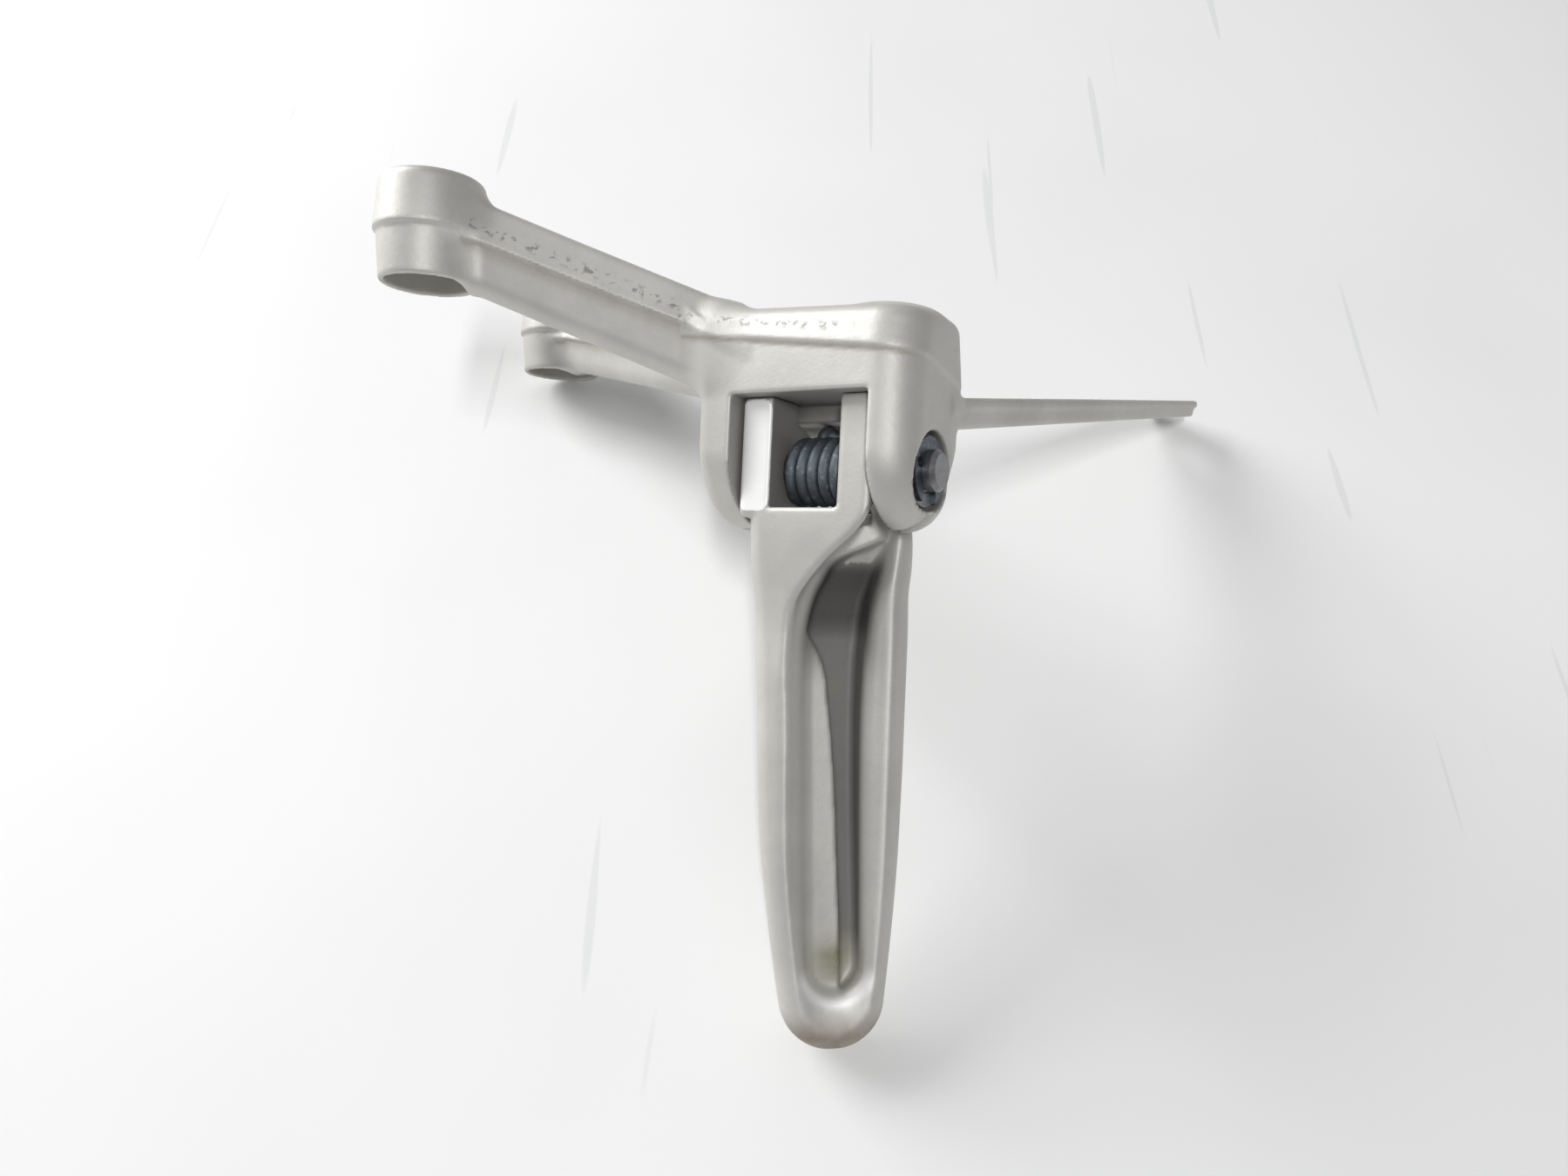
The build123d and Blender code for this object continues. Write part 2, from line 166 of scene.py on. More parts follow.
def skin(solid, low, high, cell):
    """Vertices and quads of the surface of a solid, found only near that surface."""
    # a coarse look at every block, then at every point near the surface
    low = np.array(low, float)
    blocks = np.ceil((np.array(high) - low) / cell / BLOCK).astype(int)
    size = blocks * BLOCK
    centre = lattice(blocks)
    coarse = sample(solid, low + (centre * BLOCK + BLOCK / 2) * cell)
    values = np.repeat(np.repeat(np.repeat(coarse.reshape(blocks), BLOCK, 0), BLOCK, 1), BLOCK, 2)
    near = centre[np.abs(coarse) < BLOCK * cell * NEAR] * BLOCK
    step = lattice([BLOCK] * 3)
    at = (near[:, None, :] + step[None]).reshape(-1, 3)
    values[at[:, 0], at[:, 1], at[:, 2]] = sample(solid, low + at * cell)
    # one vertex in each cell that the surface crosses
    inside = values < 0
    count = np.zeros(size - 1, np.uint8)
    for i, j, k in CORNERS:
        count += inside[i:size[0] - 1 + i, j:size[1] - 1 + j, k:size[2] - 1 + k]
    cells = np.argwhere((count > 0) & (count < 8))
    total, hits = np.zeros((len(cells), 3)), np.zeros(len(cells))
    for a, b in EDGES:
        pa, pb = cells + a, cells + b
        va, vb = values[tuple(pa.T)], values[tuple(pb.T)]
        cut = (va < 0) != (vb < 0)
        share = np.where(cut, va / np.where(cut, va - vb, 1), 0)[:, None]
        total += np.where(cut[:, None], pa + share * (pb - pa), 0)
        hits += cut
    points = low + total / hits[:, None] * cell
    # the vertices settle on the surface
    for _ in range(SETTLE_TURNS):
        value = sample(solid, points)
        slope = np.column_stack([(sample(solid, points + axis * NUDGE) - value) / NUDGE
                                 for axis in np.eye(3)])
        move = -(value / np.maximum((slope ** 2).sum(1), LEAST_SLOPE))[:, None] * slope
        reach = np.linalg.norm(move, axis=1, keepdims=True)
        points += move * np.minimum(1, SETTLE_REACH * cell / np.maximum(reach, 1e-9))
    # one quad round each edge of the grid that the surface crosses
    number = np.full(size, -1, np.int32)
    number[tuple(cells.T)] = np.arange(len(cells))
    quads = []
    for axis in range(3):
        u, v = (axis + 1) % 3, (axis + 2) % 3
        first = inside.take(range(size[axis] - 1), axis)
        change = np.argwhere(first != inside.take(range(1, size[axis]), axis))
        change = change[(change[:, u] > 0) & (change[:, v] > 0)]
        outward = first[tuple(change.T)]
        ring = []
        for du, dv in ((1, 1), (0, 1), (0, 0), (1, 0)):
            back = change.copy()
            back[:, u] -= du
            back[:, v] -= dv
            ring.append(number[tuple(back.T)])
        ring = np.column_stack(ring)
        ring[~outward] = ring[~outward][:, ::-1]
        quads.append(ring[(ring >= 0).all(1)])
    return points, np.vstack(quads)


def add_object(name, data):
    """A new object in the scene."""
    item = bpy.data.objects.new(name, data)
    bpy.context.scene.collection.objects.link(item)
    return item


def casting_object(name, points, faces, masks):
    """A smooth-shaded object from working-frame points, with named masks on its points."""
    mesh = bpy.data.meshes.new(name)
    faces = np.asarray(faces)
    mesh.vertices.add(len(points))
    mesh.vertices.foreach_set("co", to_row(points).astype(np.float32).ravel())
    mesh.loops.add(faces.size)
    mesh.loops.foreach_set("vertex_index", faces.astype(np.int32).ravel())
    mesh.polygons.add(len(faces))
    starts = np.arange(0, faces.size, faces.shape[1], dtype=np.int32)
    mesh.polygons.foreach_set("loop_start", starts)
    mesh.polygons.foreach_set("use_smooth", np.ones(len(faces), bool))
    for mask, values in masks.items():
        attribute = mesh.attributes.new(mask, "FLOAT", "POINT")
        attribute.data.foreach_set("value", np.clip(values, 0, 1).astype(np.float32))
    mesh.update()
    mesh.validate()
    return add_object(name, mesh)


# ---- materials -----------------------------------------------------------------------------------
MIX_SHARE, MIX_A, MIX_B, MIX_RESULT = 0, 6, 7, 2   # the mix node's colour sockets go by number
CASTING_BUMP, STEEL_BUMP = 0.00009, 0.00004        # height of the relief in metres
DUST = (0.5, 0.5, 0.48)


class Sock:
    """A socket that takes part in Python sums, by way of Math nodes."""

    def __init__(self, shader, socket):
        self.shader, self.socket = shader, socket

    def _math(self, operation, a, b):
        return self.shader.node("ShaderNodeMath", {"operation": operation}, [a, b])

    def __add__(self, other):
        return self._math("ADD", self, other)

    __radd__ = __add__

    def __sub__(self, other):
        return self._math("SUBTRACT", self, other)

    def __mul__(self, other):
        return self._math("MULTIPLY", self, other)

    def clamp(self):
        return self.shader.node("ShaderNodeClamp", {}, [self])

    def steps(self, low, high):
        """0 below low and 1 above high, smoothly."""
        return self.shader.node("ShaderNodeMapRange", {"interpolation_type": "SMOOTHSTEP"},
                                {"Value": self, "From Min": low, "From Max": high})


class Shader:
    """One material and the nodes it is made of."""

    def __init__(self, name):
        self.material = bpy.data.materials.new(name)
        self.material.use_nodes = True
        self.tree = self.material.node_tree
        self.principled = self.tree.nodes["Principled BSDF"]

    def node(self, kind, settings, inputs, output=0):
        """A new node, with what it is set to and what feeds it, as one of its outputs."""
        node = self.tree.nodes.new(kind)
        for key, value in settings.items():
            setattr(node, key, value)
        pairs = inputs.items() if isinstance(inputs, dict) else enumerate(inputs)
        for key, value in pairs:
            self.feed(node.inputs[key], value)
        return Sock(self, node.outputs[output])

    def feed(self, target, value):
        if isinstance(value, Sock):
            self.tree.links.new(value.socket, target)
        elif target.type == "RGBA" and len(value) == 3:
            target.default_value = (*value, 1)
        else:
            target.default_value = value

    def place(self):
        return self.node("ShaderNodeTexCoord", {}, {}, "Object")

    def noise(self, scale, detail=2.0, roughness=0.5, distortion=0.0, where=None):
        inputs = {"Vector": where or self.place(), "Scale": scale, "Detail": detail,
                  "Roughness": roughness, "Distortion": distortion}
        return self.node("ShaderNodeTexNoise", {}, inputs)

    def mask(self, name):
        return self.node("ShaderNodeAttribute", {"attribute_name": name}, {}, "Fac")

    def blend(self, share, a, b):
        """Colour a where share is 0 and b where it is 1."""
        return self.node("ShaderNodeMix", {"data_type": "RGBA"},
                         {MIX_SHARE: share, MIX_A: a, MIX_B: b}, MIX_RESULT)

    def bump(self, height, distance):
        return self.node("ShaderNodeBump", {}, {"Height": height, "Distance": distance})

    def finish(self, **inputs):
        for key, value in inputs.items():
            self.feed(self.principled.inputs[key.replace("_", " ")], value)
        return self.material


def cast_aluminium(name, props, masks):
    """Blasted casting: fine grain, cloudy tone, and, where the masks say so, flash marks, dirt,
    painted shade in hollows and under the parting steps, rubbed patches painted near white as a
    highlight, and a painted highlight round the end of the pocket.
    """
    s = Shader(name)
    cloud = s.noise(38, 4, 0.6)
    grain = s.noise(1500, 3, 0.65)
    speck = s.noise(620, 2, 0.6)
    tone = s.blend(cloud.steps(0.3, 0.72), props.colour_dark, props.colour_light)
    tone = s.blend(speck.steps(0.42, 0.75) * 0.22, tone, props.colour_dark)
    rough = 0.46 + cloud * 0.1 + grain * 0.08
    # dark dirt at the peg's tip, and painted shade in brown under the hanger's parting steps
    if "grime" in masks:
        dirt = (s.mask("grime") * (0.35 + s.noise(170, 4, 0.7) * 1.3)).clamp()
        tone = s.blend(dirt, tone, props.colour_grime)
        rough = rough + dirt * 0.15
    # painted shade in the window, the recess, the pocket and between the fork and the ears
    if "shade" in masks:
        tone = s.blend(s.mask("shade"), tone, props.colour_painted_shade)
    if "trim" in masks:
        marks = s.mask("trim") * s.noise(760, 1.5, 0.55).steps(0.54, 0.63)
        tone = s.blend(marks * 0.85, tone, props.colour_marks)
        tone = s.blend(s.mask("trim") * 0.18, tone, props.colour_light)
    if "dirt" in masks:
        silt = (s.mask("dirt") * (0.5 + s.noise(260, 3, 0.6))).clamp()
        tone = s.blend(silt, tone, props.colour_dirt)
    # painted highlight round the end of the pocket
    if "crescent_highlight" in masks:
        tone = s.blend(s.mask("crescent_highlight"), tone, props.colour_bare_and_highlight)
    # rubbed bare metal, also painted near white as a highlight
    if "wear_and_highlight" in masks:
        rub_and_highlight = (s.mask("wear_and_highlight") + s.noise(500, 3, 0.6) * 0.5).steps(0.62, 0.85)
        tone = s.blend(rub_and_highlight, tone, props.colour_bare_and_highlight)
        rough = rough - rub_and_highlight * 0.1
    metal = 0.52 + cloud * 0.1
    # less metallic where the shade is painted
    if "shade" in masks:
        metal = metal - s.mask("shade") * 0.5
    if "wear_and_highlight" in masks:
        metal = metal - rub_and_highlight * 0.4
    relief = grain * 0.35 + s.noise(300, 3, 0.6) * 0.65
    return s.finish(Base_Color=tone, Roughness=rough.clamp(), Metallic=metal,
                    Normal=s.bump(relief, CASTING_BUMP))


def steel(name, colour, rough, dust):
    """Plain steel with a share of dust in places."""
    s = Shader(name)
    cloud = s.noise(320, 3, 0.6)
    tone = s.blend(cloud.steps(0.35, 0.7) * 0.45, colour, tuple(c * 1.7 for c in colour))
    tone = s.blend(s.noise(900, 2, 0.7).steps(0.56, 0.7) * dust, tone, DUST)
    return s.finish(Base_Color=tone, Roughness=(rough + cloud * 0.15).clamp(), Metallic=0.9,
                    Normal=s.bump(s.noise(1400, 2, 0.6), STEEL_BUMP))


# ---- sizes and colours ---------------------------------------------------------------------------
def length(name, text, default, low=0.0, high=200.0):
    return FloatProperty(name=name, description=text + ", in millimetres", default=default, min=low,
                         max=high)


def angle(name, text, degrees):
    return FloatProperty(name=name, description=text, subtype="ANGLE",
                         default=math.radians(degrees))


def colour(name, text, default):
    return FloatVectorProperty(name=name, description=text, subtype="COLOR", size=3, min=0, max=1,
                               default=default)


class CastingFinish(bpy.types.PropertyGroup):
    colour_light: colour("Light", "Colour of clean casting", (0.63, 0.62, 0.59))
    colour_dark: colour("Dark", "Colour of dull casting", (0.53, 0.52, 0.495))
    # dark dirt at the peg's tip, and painted shade under the hanger's parting steps
    colour_grime: colour("Grime", "Colour of brown grime in corners", (0.30, 0.25, 0.20))
    # painted shade: the near black colour painted deep in the pocket, in the window and recess, and
    # where the fork sits between the ears
    colour_painted_shade: colour("Shade", "Colour of the dirt deep in the pocket", (0.065, 0.06, 0.057))
    colour_dirt: colour("Dirt", "Colour of the yellow dirt at the pocket's end", (0.22, 0.21, 0.11))
    colour_marks: colour("Marks", "Colour of the trimmed flash marks", (0.16, 0.155, 0.15))
    # rubbed bare metal, also painted near white as a highlight on the fork's lug; also the colour
    # of the painted highlight round the end of the pocket
    colour_bare_and_highlight: colour("Bare", "Colour of rubbed bare metal", (0.98, 0.98, 0.97))
    cell: length("Cell", "Spacing of the mesh points", 0.6, 0.3, 3.0)


class HangerSizes(bpy.types.PropertyGroup):
    clevis_width: length("Clevis width", "Width over both ears", 46.0)
    window_width: length("Window width", "Width between the ears", 29.6)
    window_top: length("Window top", "Pin to the flat that stops the fork", 13.7)
    lip_height: length("Lip height", "Pin to the lip behind that flat", 10.3)
    lip_front: length("Lip front", "Front of the lip from the pin", -3.0, -20, 20)
    rear_lip_height: length("Rear lip height", "Pin to the rim behind the spring", 8.3)
    rear_lip_front: length("Rear lip front", "Front of that rim from the pin", -9.7, -20, 20)
    head_top: length("Head top", "Pin to the inboard side of the head", 29.5)
    head_front: length("Head front", "Pin to the underside of the head", 13.3)
    head_back: length("Head back", "Pin to the upper side of the head", 11.0)
    ear_radius: length("Ear radius", "Round end of the ears", 11.2)
    head_corner: length("Head corner", "Large upright edge of the head", 7.8)
    head_edge: length("Head edge", "Other upright edges of the head", 3.0)
    parting_step: length("Parting step", "How far the inboard half stands proud", 1.1)
    bore: length("Bore", "Radius of the pin bore", 4.02)
    recess_radius: length("Recess radius", "Recess round the end of the pin", 7.5)
    recess_depth: length("Recess depth", "Depth of that recess", 3.0)
    boss_radius: length("Boss radius", "Radius of the bolt bosses", 10.7)
    boss_height: length("Boss height", "Height of the bolt bosses", 21.4)
    boss_ring: length("Boss ring", "Mouth of the boss to its parting ring", 9.9)
    seat_radius: length("Seat radius", "Radius of the bolt seats", 8.75)
    seat_depth: length("Seat depth", "Depth of the bolt seats", 12.5)
    hole_radius: length("Hole radius", "Radius of the bolt holes", 4.3)
    fillet: length("Fillet", "Fillet where arms meet head and bosses", 5.0)


class PegSizes(bpy.types.PropertyGroup):
    fork_half: length("Fork half width", "Half width of the fork", 14.4)
    lug_radius: length("Lug radius", "Pin to the faces of the fork", 9.7)
    stop: length("Stop", "Pin to the square end of the fork", 13.65)
    slot_half: length("Slot half width", "Half width of the spring slot", 7.5)
    slot_floor: length("Slot floor", "Pin to the floor of the spring slot", 7.6)
    leg_place: length("Leg place", "Leg of the spring along the pin", 6.1)
    leg_half: length("Leg groove", "Half width of the groove for that leg", 1.4)
    leg_reach: length("Leg reach", "Pin to the bottom of that groove", 10.5)
    leg_rest: angle("Leg rest", "Turn of the leg when the peg is down", 43)
    leg_sweep: angle("Leg sweep", "Turn of the peg round the leg", 95)
    bore: length("Bore", "Radius of the bore for the pin", 4.06)
    reach: length("Reach", "Pin to the tip of the peg", 113.6)
    roll: angle("Roll", "Turn of the tread about the peg", 40)
    lean: angle("Lean", "Lean of the peg from square to the pin", 3)
    offset: length("Offset", "Middle of the peg beside the middle of the pin", 0.7)
    bar_half: length("Bar half width", "Half width of the bar at its root", 15.3)
    tip_half: length("Tip half width", "Half width of the bar at its tip", 9.4)
    rim: length("Rim", "Pin to the rim of the pocket", 3.0)
    tread: length("Tread", "Pin to the tread at the root", 9.5)
    tip_tread: length("Tip tread", "Pin to the tread at the tip", 6.8)
    dish: length("Dish", "Depth of the dish between the rims", 3.6)
    pocket_end: length("Pocket end", "Pin to the end of the pocket", 102.7)
    shelf: length("Shelf", "Rim to the shelf in the pocket", 4.4)
    ridge_pitch: length("Ridge pitch", "Spacing of the ridges of the tread", 7.0)
    ridge_count: IntProperty(name="Ridge grooves", description="Grooves of the tread", default=11)


class SpringSizes(bpy.types.PropertyGroup):
    wire: length("Wire", "Radius of the wire", 1.2)
    coil: length("Coil", "Radius to the middle of the wire", 5.7)
    turns: IntProperty(name="Turns", description="Turns of the coil", default=5)
    start: length("Start", "First turn along the pin", -6.15, -20, 20)
    pitch: length("Pitch", "Spacing of the turns", 2.45)
    colour: colour("Colour", "Colour of the wire", (0.125, 0.145, 0.165))


class SteelFinish(bpy.types.PropertyGroup):
    pin_colour: colour("Pin", "Colour of the turned pin", (0.21, 0.21, 0.22))
    clip_colour: colour("Clip", "Colour of the clip", (0.10, 0.115, 0.14))
    washer_colour: colour("Washer", "Colour of the washer", (0.24, 0.245, 0.26))


class StageSizes(bpy.types.PropertyGroup):
    floor_colour: colour("Floor", "Colour of the floor", (0.92, 0.925, 0.92))
    scratch_colour: colour("Scratches", "Colour of the scratches in the floor", (0.62, 0.63, 0.64))
    floor_width: FloatProperty(name="Floor width", description="Size of the floor", default=6.0,
                               subtype="DISTANCE")
    lens: length("Lens", "Focal length on a 36 mm sensor", 27.04)
    world: FloatProperty(name="World", description="Strength of the plain white world", default=0.3)


# ---- hanger --------------------------------------------------------------------------------------
FRONT_BOSS, UPPER_BOSS = (-76.0, 35.1, 34.9), (-108.1, 32.3, -40.4)   # the middles of their mouths


def plan(at):
    """X and Z of a place."""
    return at[0], at[2]


class Beam(NamedTuple):
    """A tapered arm. Its ends are in X and Z, and each end has three levels along Y: the outboard
    face, the parting line and the inboard face."""
    root: tuple
    end: tuple
    widths: tuple
    root_levels: tuple
    end_levels: tuple
    inboard_draft: float = 0.4
    outboard_draft: float = 0.22
    inboard_edge: float = 1.5
    outboard_edge: float = 3.3


ARMS = (
    Beam((-19.0, 5.8), plan(FRONT_BOSS), (14.0, 12.0), (13.2, 24.0, 32.2), (37.2, 47.0, 56.2)),
    Beam((-19.0, -3.4), plan(UPPER_BOSS), (13.0, 11.0), (13.5, 22.0, 28.0), (34.0, 42.2, 51.0)),
)
STAY = Beam((17.0, -8.0), (32.2, -136.0), (11.0, 14.0), (8.6, 12.4, 14.9), (30.2, 32.6, 34.5),
            inboard_draft=0.1, outboard_draft=0.1, inboard_edge=0.9, outboard_edge=0.9)
STAY_STEP, STAY_FILLET = 0.9, 2.5
HANGER_ROOM = ((-122, -14, -140), (42, 60, 50))   # corners of a box round it
HEAD_HALF_ROOM = (26, 16)                    # half of the head's width and depth, with some room
OVERLAP = 1.0                                # how far the two halves of a casting share room
CUP_DRAFT, PAD_DRAFT, PAD_STEP = 0.09, 0.08, 0.7
LEDGE, LEDGE_SLOPE, LEDGE_DROP = 22.9, 0.115, 0.22
EAR_ROUND_FRONT, EAR_ROUND_BACK, EAR_ROUND_SPLIT = 15.0, 9.3, -1.7
EAR_SAG = 0.3
END_EDGE_RIGHT, END_EDGE_LEFT = 4.0, 1.0     # added to the edges of the ears at their round end
CAP_PROUD, CAP_DRAFT = 0.6, 0.22
TOP_RISE, TOP_SLOPE = 1.7, 0.04              # at the left end of the inboard face, and along it
DOME_AT, DOME_RADIUS, DOME_TOP, DOME_FOOT = (12.0, -0.5), 9.8, 30.7, 20
RECESS_SHADE_END = 0.7                       # below the mouth of the recess
HOLE_HALF_DEPTH = 8
# strengths of the painted shade in the window, behind the lip and in the recess
WINDOW_SHADE, LIP_SHADE, RECESS_SHADE = 0.5, 0.2, 0.6


def beam(x, y, z, spec, step):
    """Distance to an arm, and how far a point lies inboard of its parting line.

    It is widest at that line, its halves are drafted, and the outboard half is set back by step."""
    run = np.subtract(spec.end, spec.root)
    long = np.linalg.norm(run)
    run /= long
    dx, dz = x - spec.root[0], z - spec.root[1]
    along = dx * run[0] + dz * run[1]
    side = np.abs(dz * run[0] - dx * run[1])
    share = np.clip(along / long, -0.1, 1.02)
    low, part, high = [a + (b - a) * share for a, b in zip(spec.root_levels, spec.end_levels)]
    slant = math.cos(math.atan2(spec.end_levels[1] - spec.root_levels[1], long))
    wide, narrow = spec.widths
    half = (wide + (narrow - wide) * np.clip(share * 2, 0, 1)) / 2
    above = (y - part) * slant
    inboard = side - (half - np.maximum(above, 0) * spec.inboard_draft)
    inboard = both(both(inboard, (y - high) * slant, spec.inboard_edge), -above, 0.5)
    outboard = side - (half - step - np.maximum(-above, 0) * spec.outboard_draft)
    outboard = both(outboard, (low - y) * slant, spec.outboard_edge)
    outboard = both(outboard, above - OVERLAP)
    return both(either(inboard, outboard, 0.4), np.maximum(along - long, -along)), above


def boss(x, y, z, mouth, p):
    """A turned boss: cup, parting ring and drafted pad."""
    radius, up = np.hypot(x - mouth[0], z - mouth[2]), y - mouth[1]
    cup = both(radius - (p.boss_radius - np.maximum(p.boss_ring - up, 0) * CUP_DRAFT), -up, 0.8)
    cup = both(cup, up - p.boss_ring - OVERLAP)
    pad_radius = p.boss_radius + p.parting_step * PAD_STEP
    pad = both(radius - (pad_radius - np.maximum(up - p.boss_ring, 0) * PAD_DRAFT),
               up - p.boss_height, 1.6)
    pad = both(pad, p.boss_ring - up, 0.6)
    return either(cup, pad, 0.4)


def ledge(x, z):
    """Level of the parting step round the head, lower to the right and at the back there."""
    return LEDGE - LEDGE_SLOPE * x - LEDGE_DROP * np.maximum(7 - z, 0) * ease(x, 8, 20)


def head(x, y, z, p):
    """The head with its ears: an outboard part, and a cap standing proud inboard of the ledge."""
    middle = (p.head_front - p.head_back) / 2
    half_wide, half_deep = p.clevis_width / 2, (p.head_front + p.head_back) / 2
    wide, deep = np.abs(x) - half_wide, np.abs(z - middle) - half_deep
    above = y - ledge(x, z)
    corner = np.where((x > 0) & (z > middle), p.head_corner, p.head_edge)
    end_edge = np.where(x > 0, END_EDGE_RIGHT, END_EDGE_LEFT) * ease(-y, -6, 3)
    ears = both(deep, -y - p.ear_radius - EAR_SAG,
                np.where(z > EAR_ROUND_SPLIT, EAR_ROUND_FRONT, EAR_ROUND_BACK))
    ears = both(ears, wide, np.maximum(corner, p.head_edge + end_edge))
    ears = both(ears, above - 1.5)
    proud, lean = p.parting_step * CAP_PROUD, np.maximum(above, 0) * CAP_DRAFT
    cap = both(wide - proud + lean * (x < 0), deep - proud + lean, corner + 1)
    cap = both(cap, y - (p.head_top + TOP_RISE - TOP_SLOPE * (x + half_wide)), 3.0)
    cap = both(cap, -above, 0.55)
    dome = both(np.hypot(x - DOME_AT[0], z - DOME_AT[1]) - DOME_RADIUS, y - DOME_TOP, 3.4)
    cap = either(cap, both(dome, DOME_FOOT - y), 2.0)
    return either(ears, cap, 0.5)


def window(x, y, z, p):
    """The opening between the ears, closed inboard by three levels from front to back."""
    opening = np.minimum(both(y - p.window_top, p.lip_front - z),
                         both(y - p.lip_height, p.rear_lip_front - z))
    opening = np.minimum(opening, y - p.rear_lip_height)
    return both(opening, np.abs(x) - p.window_width / 2, 0.5)


def stay_hole(x, y, z):
    """The hole at the end of the stay, from the mount in the record."""
    hole = find(RECORD["mounts"], "stay_hole")
    at = (np.array(hole["pos_m"]) - PIN) @ TURN / MM
    axis = np.array(hole["axis"]) @ TURN
    rel = np.stack([x - at[0], y - at[1], z - at[2]], -1)
    along = rel @ axis
    out = np.sqrt(np.maximum((rel ** 2).sum(-1) - along ** 2, 0)) - hole["dims"]["r_mm"]
    return both(out, np.abs(along) - HOLE_HALF_DEPTH)


def hanger_solid(p):
    def solid(x, y, z):
        body = head(x, y, z, p)
        for spec in ARMS:
            body = either(body, beam(x, y, z, spec, p.parting_step)[0], p.fillet)
        body = either(body, beam(x, y, z, STAY, STAY_STEP)[0], STAY_FILLET)
        for mouth in (FRONT_BOSS, UPPER_BOSS):
            body = either(body, boss(x, y, z, mouth, p), p.fillet * 0.7)
        body = without(body, window(x, y, z, p), 0.5)
        pin = np.hypot(y, z)
        body = without(body, pin - p.bore, 0.3)
        recess = both(pin - p.recess_radius, p.clevis_width / 2 - p.recess_depth - np.abs(x))
        body = without(body, recess, 0.6)
        for mouth in (FRONT_BOSS, UPPER_BOSS):
            radius, up = np.hypot(x - mouth[0], z - mouth[2]), y - mouth[1]
            body = without(body, both(radius - p.seat_radius, up - p.seat_depth, 0.6), 0.6)
            body = without(body, radius - p.hole_radius, 0.4)
        return without(body, stay_hole(x, y, z), 0.4)

    return solid


def hanger_masks(x, y, z, p):
    """Trimmed flash on the parting lines, painted shade in brown under the parting steps, and
    painted shade in the window and recess.
    """
    near_head = both(np.abs(x) - HEAD_HALF_ROOM[0], np.abs(z - 1) - HEAD_HALF_ROOM[1]) < 0
    above = y - ledge(x, z)
    trim = np.where(near_head, band(above, 3.2, 0.75) * ease(z, 8, 12) * (1 - ease(x, 8, 14)), 0)
    # painted shade in brown under the parting step round the head
    grime = np.where(near_head, band(above, -0.5, 0.45) * ease(z, 6, 12) * 0.5, 0)
    for spec in ARMS:
        arm, above = beam(x, y, z, spec, p.parting_step)
        on_arm = (np.abs(arm) < 1.5) & ~near_head
        trim = np.where(on_arm, np.maximum(trim, band(above, 3.0, 0.85)), trim)
        # painted shade in brown under the parting step of each arm
        grime = np.where(on_arm, np.maximum(grime, 0.35 * band(above, -1.0, 1.2)), grime)
    # painted shade inside the window between the ears, lighter behind the lip, and in the recess
    # round the pin's end
    in_window = ((np.abs(x) < p.window_width / 2 + 0.3) & (y < p.window_top + 0.3)
                 & (z < p.head_front - 0.3))
    in_recess = ((np.hypot(y, z) < p.recess_radius + 0.2) & (np.abs(x) > p.window_width / 2 - 0.8)
                 & (np.abs(x) < p.clevis_width / 2 - RECESS_SHADE_END))
    behind = np.where(z < p.lip_front + 0.3, LIP_SHADE, WINDOW_SHADE)
    shade = np.maximum(in_window * behind, in_recess * RECESS_SHADE)
    return {"trim": trim, "grime": grime, "shade": shade}


class FOOTPEG_OT_hanger(bpy.types.Operator):
    """Add the cast hanger with its clevis, arms, bosses and stay"""
    bl_idname = "footpeg.add_hanger"
    bl_label = "Hanger"

    def execute(self, context):
        p, finish = context.scene.hanger_sizes, context.scene.casting_finish
        points, quads = skin(hanger_solid(p), *HANGER_ROOM, finish.cell * COARSE)
        masks = hanger_masks(*points.T, p)
        piece = casting_object("hanger_casting", points, quads, masks)
        piece.data.materials.append(cast_aluminium("hanger_cast", finish, tuple(masks)))
        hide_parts("hanger")
        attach(piece, "hanger")
        return {"FINISHED"}


# ---- footpeg -------------------------------------------------------------------------------------
# Outlines of the pocket side: distance along the peg, then a place across it or a height out of it.
ARCH = ((2, 11.6), (4.3, 8.2), (8, 4.9), (11.7, 2.3), (17.9, -3.3), (24.1, -7.2), (30.1, -9.6),
        (36, -11.2), (44, -16), (50, -30))
POCKET_LEFT = ((13, 12), (14.2, 9.5), (16.8, 2.7), (21.5, -1.7), (26.7, -4.3), (31, -5.3),
               (40, -5.8), (60, -5.9), (120, -5.9))
POCKET_RIGHT = ((13, 10.4), (20, 9.7), (24, 8.8), (35, 7.4), (45, 6.7), (61, 6.3), (78, 6.2),
                (104, 6.0))
POCKET_FOOT = ((20, -9.0), (28.5, -7.0), (30.5, -5.6), (32, -4.2), (34, -3.0), (38, -1.4),
               (45, -0.5), (56, 0.4), (78, 1.2), (92, 1.6), (100, 1.6))
POCKET_FLOOR = ((11, 3.0), (14, 0.6), (18, -2.8), (22, -4.8), (28, -6.0), (34, -6.4), (45, -6.0),
                (75, -4.9), (104, -3.0))
# Along the bar: share of its widening from tip to root, its middle, and the bevel of its flanks.
BAR_SHARE = ((20, 1.03), (30, 1.0), (48, 0.9), (62, 0.84), (76, 0.73), (90, 0.5), (100, 0.3),
             (113.6, 0))
BAR_MIDDLE = ((20, 0.9), (30, 0.85), (48, 0.65), (76, 0.05), (90, 0.05), (113.6, 0.1))
BAR_CHAMFER = ((20, 4.4), (60, 4.2), (76, 3.9), (90, 3.6), (113.6, 3.4))
PEG_ROOM = ((-22, -118, -22), (24, 16, 18))   # corners of a box round it
BAR_START = 30               # from the pin
BEVEL = 0.7071               # a flank leans 45 degrees
BACK_GROWTH = 2.6            # of the fork, towards the bar
WELL_INSIDE = -5
GROOVE_HALF, GROOVE_DEPTH = 1.1, 0.8
DISH_POWER, DISH_RUN_OUT = 0.85, 12
POCKET_LEAN = 0.12           # draft of the pocket's walls
